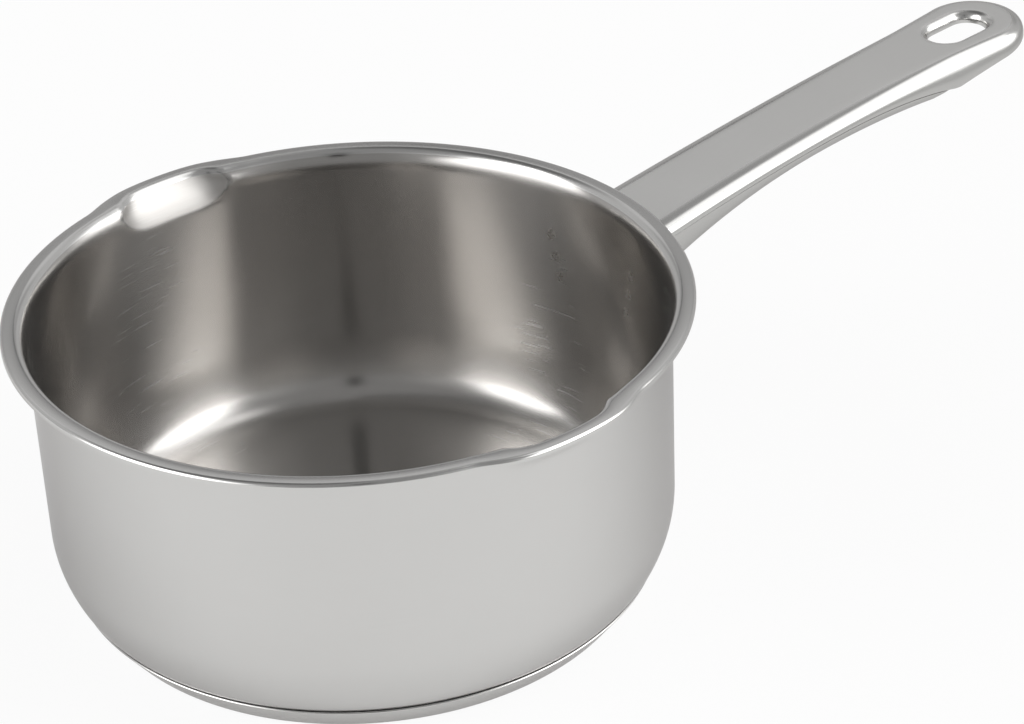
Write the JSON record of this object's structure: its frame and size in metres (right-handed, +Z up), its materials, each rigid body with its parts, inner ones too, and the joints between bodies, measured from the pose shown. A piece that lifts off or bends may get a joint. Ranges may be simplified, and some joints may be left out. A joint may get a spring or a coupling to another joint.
{
  "type": "saucepan",
  "caption": "Stainless steel saucepan with a flared rim, pressed pouring lips, a sandwich base and a long hollow handle with a hanging slot, for heating food on a hob.",
  "frame": {"origin": "centre of the flat base, on the hob", "axes": "+X along the handle, from the vessel to the tip, +Y and -Y towards the two pouring lips, +Z up"},
  "size_m": [0.3243, 0.1784, 0.0857],
  "materials": {
    "vessel_steel": "polished outside, finely brushed inside",
    "handle_steel": "satin on the flat top, polished on the rolled edges",
    "spreader_aluminium": "as rolled",
    "braze_alloy": "dull"
  },
  "bodies": {
    "root": {"pan_body": "vessel_steel", "base_capsule": "vessel_steel", "heat_spreader_disc": "spreader_aluminium", "lower_braze_layer": "braze_alloy", "upper_braze_layer": "braze_alloy", "handle_upper_shell": "handle_steel", "handle_lower_shell": "handle_steel", "handle_root_plate": "handle_steel", "spot_weld_1": "handle_steel", "spot_weld_2": "handle_steel", "spot_weld_3": "handle_steel", "spot_weld_4": "handle_steel", "spot_weld_5": "handle_steel", "spot_weld_6": "handle_steel"}
  },
  "joints": []
}
